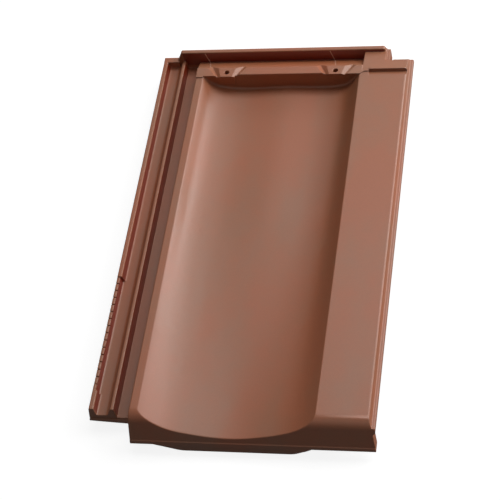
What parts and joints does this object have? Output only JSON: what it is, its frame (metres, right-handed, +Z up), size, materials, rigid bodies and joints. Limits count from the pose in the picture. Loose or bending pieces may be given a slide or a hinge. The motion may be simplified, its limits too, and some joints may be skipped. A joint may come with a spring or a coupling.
{
  "type": "roof tile",
  "caption": "Interlocking clay roof tile with a smooth concave pan, a flat side roll, a curved nose skirt, ribbed side underlock, head channel with nail bosses and hanging lugs underneath",
  "frame": {"origin": "centre of the underside's bounding box, on the level floor the tile lies on", "axes": "+X across the tile from the underlock to the roll, +Y along the tile from the nose to the head, +Z up"},
  "size_m": [0.292, 0.49, 0.0424],
  "materials": {
    "clay": "satin red-brown slip over fired clay"
  },
  "bodies": {
    "root": {"roof_tile": "clay"}
  },
  "joints": []
}
